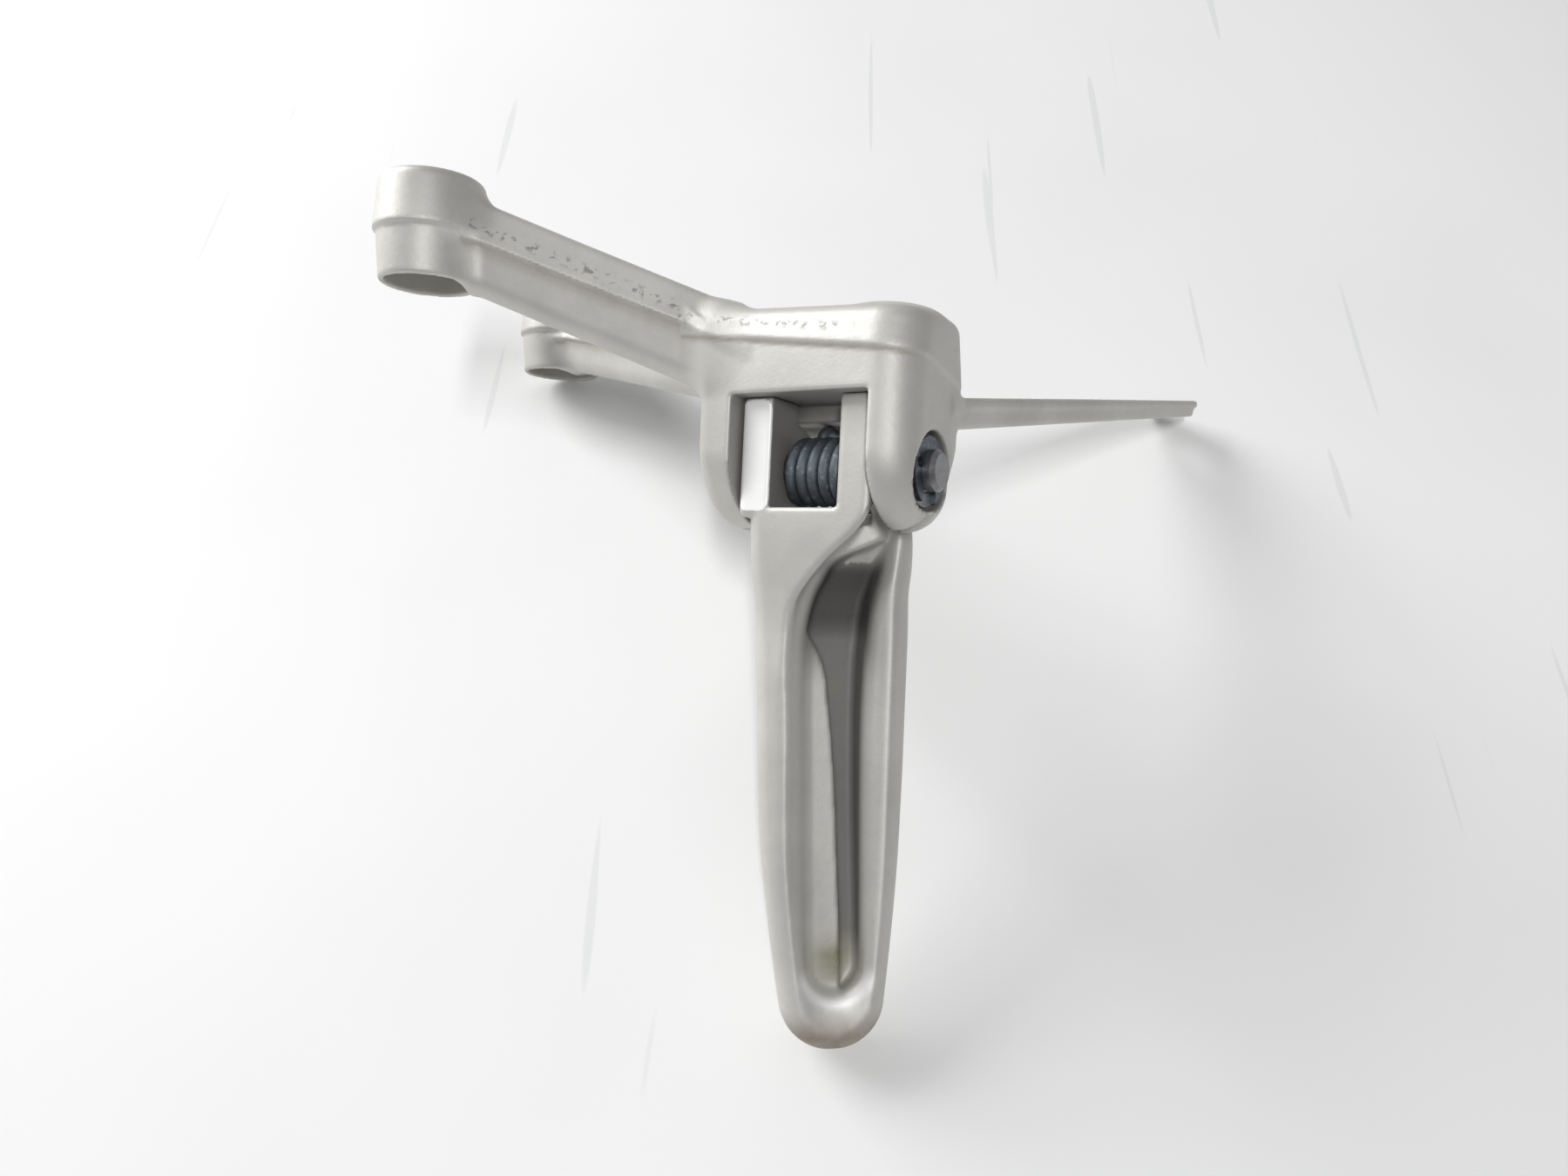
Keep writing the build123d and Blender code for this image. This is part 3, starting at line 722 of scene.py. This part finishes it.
WALL_SCALE = 0.85            # keeps what they add up to within a true distance
WEAR_AT, WEAR_HALF = (-10.9, 2.4), (1.2, 8.6)   # the rubbed patch on the fork, also painted near white as a highlight, in X and Y
CRESCENT_RADIUS, CRESCENT_WIDTH = 6.7, 1.1      # painted highlight round the end of the pocket


def bar_frame(p):
    """Across, along and out-of-pocket directions of the bar, and its origin on the pin."""
    across = np.array([math.cos(p.roll), 0, -math.sin(p.roll)])
    out = np.array([math.sin(p.roll), 0, math.cos(p.roll)])
    wide = across * math.cos(p.lean) + np.array([0, 1.0, 0]) * math.sin(p.lean)
    return wide, -np.cross(out, wide), out, across * p.offset


def bar_widths(d, p):
    """Half width, middle and bevel of the bar at d along it."""
    half = p.tip_half + (p.bar_half - p.tip_half) * between(d, BAR_SHARE)
    return half, between(d, BAR_MIDDLE), between(d, BAR_CHAMFER)


def fork(x, y, z, d, p):
    """A square block with a round back, and a square corner that meets the stop."""
    block = both(np.abs(x) - p.fork_half, z - p.lug_radius, 1.4)
    block = both(block, -z - p.lug_radius - BACK_GROWTH * ease(d, 8, 20), 1.0)
    back = np.where(y > 0, np.hypot(y, z) - p.lug_radius, WELL_INSIDE)
    return both(block, np.where(z > 0, y - p.stop, back), 1.0)


def bar(w, d, n, p):
    """The bar with its bevelled flanks, and the tread with its cross grooves on the upper side."""
    half, middle, chamfer = bar_widths(d, p)
    share = np.clip((d - BAR_START) / (p.reach - BAR_START), 0, 1)
    tread = p.tread + (p.tip_tread - p.tread) * share
    outline = both(np.abs(w - middle) - half, d - p.reach, p.tip_half - 0.6)
    flanks = both((outline + chamfer + n - p.rim) * BEVEL, outline, 1.4)
    belly = both(-n - tread, outline, 2.4 + 1.4 * share)
    pitch, count = p.ridge_pitch, p.ridge_count
    groove = np.abs((d - BAR_START + pitch / 2) % pitch - pitch / 2) - GROOVE_HALF
    groove = np.maximum(groove, np.abs(d - BAR_START - pitch * (count - 1) / 2) - pitch * count / 2)
    belly = without(belly, both(groove, n + tread - GROOVE_DEPTH, 0.3), 0.5)
    return both(flanks, belly, 0.6)


def dish(w, d, n, p):
    """The hollow between the rims, which starts at the arch and runs out before the tip."""
    half, middle, chamfer = bar_widths(d, p)
    hollow = (1 - np.clip((w - middle) / (half - chamfer), -1, 1) ** 2) ** DISH_POWER
    run_out = p.reach - chamfer - p.pocket_end + DISH_RUN_OUT
    hollow *= 1 - np.clip((d - p.pocket_end + DISH_RUN_OUT) / run_out, 0, 1) ** 2
    trough = p.rim - p.dish * hollow * (0.4 + 0.6 * ease(d, 12, 34))
    return both(trough - n, (between(d, ARCH) - w) * (1.0 - 0.3 * ease(d, 2, 30)), 3.2)


def pocket(w, d, n, p):
    """The pocket down to its shelf, and the trench beside the foot of that shelf."""
    left, right = between(d, POCKET_LEFT), between(d, POCKET_RIGHT)
    half = (right - left) / 2
    past = np.maximum(d - p.pocket_end + half, 0)
    walls = (np.hypot(w - left - half, past) - half) * WALL_SCALE + (p.rim - n) * POCKET_LEAN
    shelf = both(walls, p.rim - p.shelf - n, 1.6)
    trench = both(both(walls, between(d, POCKET_FOOT) - w, 0.5), between(d, POCKET_FLOOR) - n, 1.0)
    return shelf, trench


def leg_groove(x, y, z, p):
    """Room for the leg of the spring, over the angle that the peg turns round it."""
    room = both(np.abs(x - p.leg_place) - p.leg_half, np.hypot(y, z) - p.leg_reach)
    for turn, sign in ((p.leg_rest, 1), (p.leg_rest - p.leg_sweep, -1)):
        room = both(room, sign * (y * math.sin(turn) - z * math.cos(turn)))
    return room


def peg_solid(p):
    wide, down, out, origin = bar_frame(p)

    def local(x, y, z):
        """Places across, along and out of the bar."""
        rel = (x - origin[0], y - origin[1], z - origin[2])
        return [sum(r * c for r, c in zip(rel, axis)) for axis in (wide, down, out)]

    def solid(x, y, z):
        w, d, n = local(x, y, z)
        morph = ease(d, 9, 32)
        body = fork(x, y, z, d, p) * (1 - morph) + bar(w, d, n, p) * morph
        body = without(body, both(w + p.bar_half + 0.2, p.lug_radius - 1.0 - d), 1.2)
        body = without(body, dish(w, d, n, p), 1.8)
        shelf, trench = pocket(w, d, n, p)
        soft = 1 - ease(d, 14, 30)
        body = without(body, shelf, 1.6 + 1.4 * soft)
        body = without(body, trench, 0.6 + 2.4 * soft)
        slot = both(np.abs(x) - p.slot_half, -(y + p.slot_floor), 0.4)
        body = without(body, slot, 0.5)
        body = without(body, leg_groove(x, y, z, p), 0.2)
        return without(body, np.hypot(y, z) - p.bore, 0.3)

    return solid, local


def peg_masks(points, local, p):
    """Painted shade in the pocket and where the fork sits between the ears, dirt in the pocket,
    dark dirt at the tip, a rubbed patch also painted near white as a highlight, and a painted
    highlight round the end of the pocket.
    """
    x, y, z = points.T
    w, d, n = local(x, y, z)
    depth = p.rim - n
    foot = between(d, POCKET_FOOT)
    in_pocket = (w > -7.5) & (w < 11) & (n > between(d, POCKET_FLOOR) - 0.3)
    # painted shade down the trench beside the shelf
    trench = ease(depth, 2.6, 5.2) * (w > foot + 0.15) * (depth > p.shelf * (w < foot + 1.0))
    trench = trench * in_pocket * (w < 9.5) * ease(d, 16, 24) * (1 - ease(d, 90, 100))
    # painted shade, near black, in the deep top of the pocket under its arch
    mouth = ease(depth, 1.4, 4.6) * in_pocket * ease(d, 13, 20) * (1 - ease(d, 28, 44))
    # painted shade where the fork sits between the ears and beside the spring
    hidden = ((np.abs(x) > p.fork_half - 0.5) * (d < 11)
              + (np.abs(x) < p.slot_half + 0.4) * (d < 7.8)) * (np.abs(z) < p.lug_radius - 0.6)
    spot = band(d, 42.5, 1.0) * band(w, 1.2, 1.0) * (depth > p.shelf + 1)
    silt = band(d, 96.5, 4.5) * band(w, 0.3, 4.5) * (depth > 2.5) * in_pocket
    rubbed = np.hypot(np.maximum(np.abs(x - WEAR_AT[0]) - WEAR_HALF[0], 0),
                      np.maximum(np.abs(y - WEAR_AT[1]) - WEAR_HALF[1], 0))
    # painted highlight on the rim round the end of the pocket
    crescent = band(np.hypot(w - 0.5, d - p.pocket_end + 5.7), CRESCENT_RADIUS, CRESCENT_WIDTH)
    return {
        "shade": np.maximum(np.maximum(trench * 0.74, mouth * 0.97), hidden * 0.55),
        "grime": ease(d, 104, 111) * 0.8,
        "dirt": np.maximum(spot * 0.6, silt * 0.8),
        # the rubbed patch on the lug, also painted near white as a highlight
        "wear_and_highlight": (np.abs(z - p.lug_radius) < 0.5) * (1 - ease(rubbed, 1.8, 2.6)),
        "crescent_highlight": crescent * ease(d, 96, 100) * (depth < 5) * (d < 106) * 0.9,
    }


class FOOTPEG_OT_peg(bpy.types.Operator):
    """Add the cast footpeg with its fork, pocket and ridged tread"""
    bl_idname = "footpeg.add_peg"
    bl_label = "Footpeg"

    def execute(self, context):
        p, finish = context.scene.peg_sizes, context.scene.casting_finish
        solid, local = peg_solid(p)
        points, quads = skin(solid, *PEG_ROOM, finish.cell * COARSE)
        masks = peg_masks(points, local, p)
        piece = casting_object("footpeg_casting", points, quads, masks)
        piece.data.materials.append(cast_aluminium("footpeg_cast", finish, tuple(masks)))
        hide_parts("footpeg")
        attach(piece, "footpeg")
        return {"FINISHED"}


# ---- spring, pin, washer and clip ----------------------------------------------------------------
POINTS_PER_TURN = 40
HOOK = ((1.5, 9.0, -3.4), (1.5, 9.0, -1.6), (1.4, 8.0, -0.3), (0.9, 5.0, 0.0))   # from its tip down
HOOK_STEPS = 8
FREE_LEG = np.linspace(0.4, 7.4, 12)                                             # its points' drop
WIRE_SIDES = 14
WIRE_TIP = 0.35                # how far the ends of the wire bulge, in radii
START_SIDE = (0.3, 0.9, 0.2)   # any direction that isn't along the start of the wire


def tube(name, path, radius):
    """A smooth round wire along points, closed at both ends."""
    path = np.array(path, float)
    ahead = np.gradient(path, axis=0)
    ahead /= np.linalg.norm(ahead, axis=1, keepdims=True)
    side = np.cross(ahead[0], START_SIDE)
    turn = np.arange(WIRE_SIDES) * 2 * math.pi / WIRE_SIDES
    rows = []
    for point, direction in zip(path, ahead):
        side = side - direction * side.dot(direction)
        side /= np.linalg.norm(side)
        other = np.cross(direction, side)
        rows.append(point + radius * (np.outer(np.cos(turn), side) + np.outer(np.sin(turn), other)))
    points = np.vstack(rows)
    rings = np.arange(len(points)).reshape(-1, WIRE_SIDES)
    after = np.roll(rings, -1, axis=1)
    faces = np.stack([rings[:-1], after[:-1], after[1:], rings[1:]], -1).reshape(-1, 4).tolist()
    for row, tip in ((0, -1), (-1, 1)):   # a fan at each end, turned over at the start
        middle = len(points)
        points = np.vstack([points, path[row] + ahead[row] * radius * WIRE_TIP * tip])
        faces += [(a, b, middle)[::tip] for a, b in zip(rings[row].tolist(), after[row].tolist())]
    mesh = bpy.data.meshes.new(name)
    mesh.from_pydata([tuple(v) for v in to_row(points)], [], faces)
    mesh.polygons.foreach_set("use_smooth", np.ones(len(mesh.polygons), bool))
    return add_object(name, mesh)


def smooth_path(corners, steps):
    """Points on a smooth curve through a few corners."""
    corners = np.array(corners, float)
    padded = np.vstack([2 * corners[0] - corners[1], corners, 2 * corners[-1] - corners[-2]])
    out = []
    for a, b, c, d in zip(padded, padded[1:], padded[2:], padded[3:]):
        for t in np.arange(steps) / steps:
            out.append(0.5 * (2 * b + (c - a) * t + (2 * a - 5 * b + 4 * c - d) * t ** 2
                              + (3 * b - a - 3 * c + d) * t ** 3))
    return np.vstack([out, corners[-1:]])


class FOOTPEG_OT_spring(bpy.types.Operator):
    """Add the return spring wound round the pin"""
    bl_idname = "footpeg.add_spring"
    bl_label = "Return spring"

    def execute(self, context):
        p = context.scene.spring_sizes
        turn = np.linspace(0, 2 * math.pi * p.turns, POINTS_PER_TURN * p.turns + 1)
        # the coil starts and ends behind the pin, and goes up at its start
        coil = np.column_stack([p.start + p.pitch * turn / (2 * math.pi),
                                p.coil * np.sin(-turn), -p.coil * np.cos(turn)])
        first, last = coil[0], coil[-1]
        upper = smooth_path([first + at for at in HOOK] + [first], HOOK_STEPS)
        lower = [last + (0, -drop, 0) for drop in FREE_LEG]
        piece = tube("return_spring_wire", np.vstack([upper[:-1], coil, lower]), p.wire)
        piece.data.materials.append(steel("spring_steel", tuple(p.colour), 0.55, 0.4))
        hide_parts("return_spring")
        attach(piece, "hanger")
        return {"FINISHED"}


class FOOTPEG_OT_hardware(bpy.types.Operator):
    """Finish the pin, washer and clip"""
    bl_idname = "footpeg.finish_hardware"
    bl_label = "Pin, washer and clip"

    def execute(self, context):
        p = context.scene.steel_finish
        for node, tone, rough, dust in (("pivot_pin", p.pin_colour, 0.28, 0.2),
                                        ("washer", p.washer_colour, 0.4, 0.3),
                                        ("retaining_clip", p.clip_colour, 0.35, 0.3)):
            piece = frame["nodes"][node]
            piece.data.materials.clear()
            piece.data.materials.append(steel(node + "_steel", tuple(tone), rough, dust))
        return {"FINISHED"}


# ---- stage ---------------------------------------------------------------------------------------
SCRATCHES = ((0.62, 7.0, 0.745), (-0.9, 8.0, 0.75), (2.3, 6.0, 0.755))   # angle, length, rarity
SCRATCH_SCALE, SCRATCH_EDGE, SCRATCH_SHARE = 110.0, 0.012, 0.3
LAMPS = (   # place, energy, width and height
    ("window_lamp", (-1.2, 0.75, 0.65), 23, 0.9, 0.9),
    ("ceiling_lamp", (0.0, -0.75, 1.5), 9.5, 0.1, 0.4),
)
LAMP_TARGET = Vector((0, 0, 0.04))
SENSOR_WIDTH, CLIP_START = 36, 0.005
CAMERA_AT = (114.2, -23.7, 200.1)   # the camera, in the working frame
CAMERA_RIGHT, CAMERA_UP = (0.8511, 0.0485, -0.5228), (-0.0397, 0.9988, 0.0279)
CAMERA_BACK = (0.5236, -0.0030, 0.8520)


class FOOTPEG_OT_stage(bpy.types.Operator):
    """Add the floor, lamps, world and camera"""
    bl_idname = "footpeg.add_stage"
    bl_label = "Stage"

    def execute(self, context):
        p, scene = context.scene.stage_sizes, context.scene
        half = p.floor_width / 2
        mesh = bpy.data.meshes.new("floor")
        corners = [(-half, -half, 0), (half, -half, 0), (half, half, 0), (-half, half, 0)]
        mesh.from_pydata(corners, [], [(0, 1, 2, 3)])
        floor = add_object("floor", mesh)
        s = Shader("floor_paint")
        where = s.place()
        tone = s.blend(s.noise(6, 3).steps(0.35, 0.7) * 0.12, tuple(p.floor_colour),
                       tuple(p.scratch_colour))
        for turn, stretch, cut in SCRATCHES:
            turned = s.node("ShaderNodeMapping", {}, {
                "Vector": where, "Rotation": (0, 0, turn),
                "Scale": (SCRATCH_SCALE, SCRATCH_SCALE / stretch / 3, 1)})
            line = s.noise(1.0, 1.0, 0.4, 0.2, turned).steps(cut, cut + SCRATCH_EDGE)
            tone = s.blend(line * SCRATCH_SHARE, tone, tuple(p.scratch_colour))
        mesh.materials.append(s.finish(Base_Color=tone, Roughness=0.6))

        world = bpy.data.worlds.new("plain_world")
        scene.world = world
        world.use_nodes = True
        background = world.node_tree.nodes["Background"].inputs
        background["Color"].default_value = (1, 1, 1, 1)
        background["Strength"].default_value = p.world

        for name, at, energy, width, height in LAMPS:
            data = bpy.data.lights.new(name, "AREA")
            data.shape = "RECTANGLE"
            data.energy, data.size, data.size_y = energy, width, height
            light = add_object(name, data)
            light.location = at
            light.rotation_euler = (Vector(at) - LAMP_TARGET).to_track_quat("Z", "Y").to_euler()

        data = bpy.data.cameras.new("camera")
        data.lens, data.sensor_width, data.clip_start = p.lens, SENSOR_WIDTH, CLIP_START
        camera = add_object("camera", data)
        axes = [TURN @ np.array(a) for a in (CAMERA_RIGHT, CAMERA_UP, CAMERA_BACK)]
        at = to_row([CAMERA_AT])[0]
        camera.matrix_world = Matrix([[*(float(axis[r]) for axis in axes), float(at[r])]
                                      for r in range(3)] + [[0, 0, 0, 1]])
        scene.camera = camera
        scene.view_settings.view_transform = "Standard"
        return {"FINISHED"}


GROUPS = {"casting_finish": CastingFinish, "hanger_sizes": HangerSizes, "peg_sizes": PegSizes,
          "spring_sizes": SpringSizes, "steel_finish": SteelFinish, "stage_sizes": StageSizes}
OPERATORS = (FOOTPEG_OT_hanger, FOOTPEG_OT_peg, FOOTPEG_OT_spring, FOOTPEG_OT_hardware,
             FOOTPEG_OT_stage)


class FOOTPEG_PT_panel(bpy.types.Panel):
    """Sizes, colours and steps of the footpeg"""
    bl_label = "Footpeg"
    bl_idname = "FOOTPEG_PT_panel"
    bl_space_type = "VIEW_3D"
    bl_region_type = "UI"
    bl_category = "Footpeg"

    def draw(self, context):
        for operator in OPERATORS:
            self.layout.operator(operator.bl_idname)
        for name, group in GROUPS.items():
            box = self.layout.box()
            box.label(text=name.replace("_", " "))
            for key in group.__annotations__:
                box.prop(getattr(context.scene, name), key)


def register():
    for name, group in GROUPS.items():
        bpy.utils.register_class(group)
        setattr(bpy.types.Scene, name, PointerProperty(type=group))
    for item in OPERATORS + (FOOTPEG_PT_panel,):
        bpy.utils.register_class(item)


def unregister():
    for item in (FOOTPEG_PT_panel,) + OPERATORS[::-1]:
        bpy.utils.unregister_class(item)
    for name, group in reversed(GROUPS.items()):
        delattr(bpy.types.Scene, name)
        bpy.utils.unregister_class(group)


def main():
    register()
    for operator in OPERATORS:
        group, name = operator.bl_idname.split(".")
        getattr(getattr(bpy.ops, group), name)()


if __name__ == "__main__":
    main()
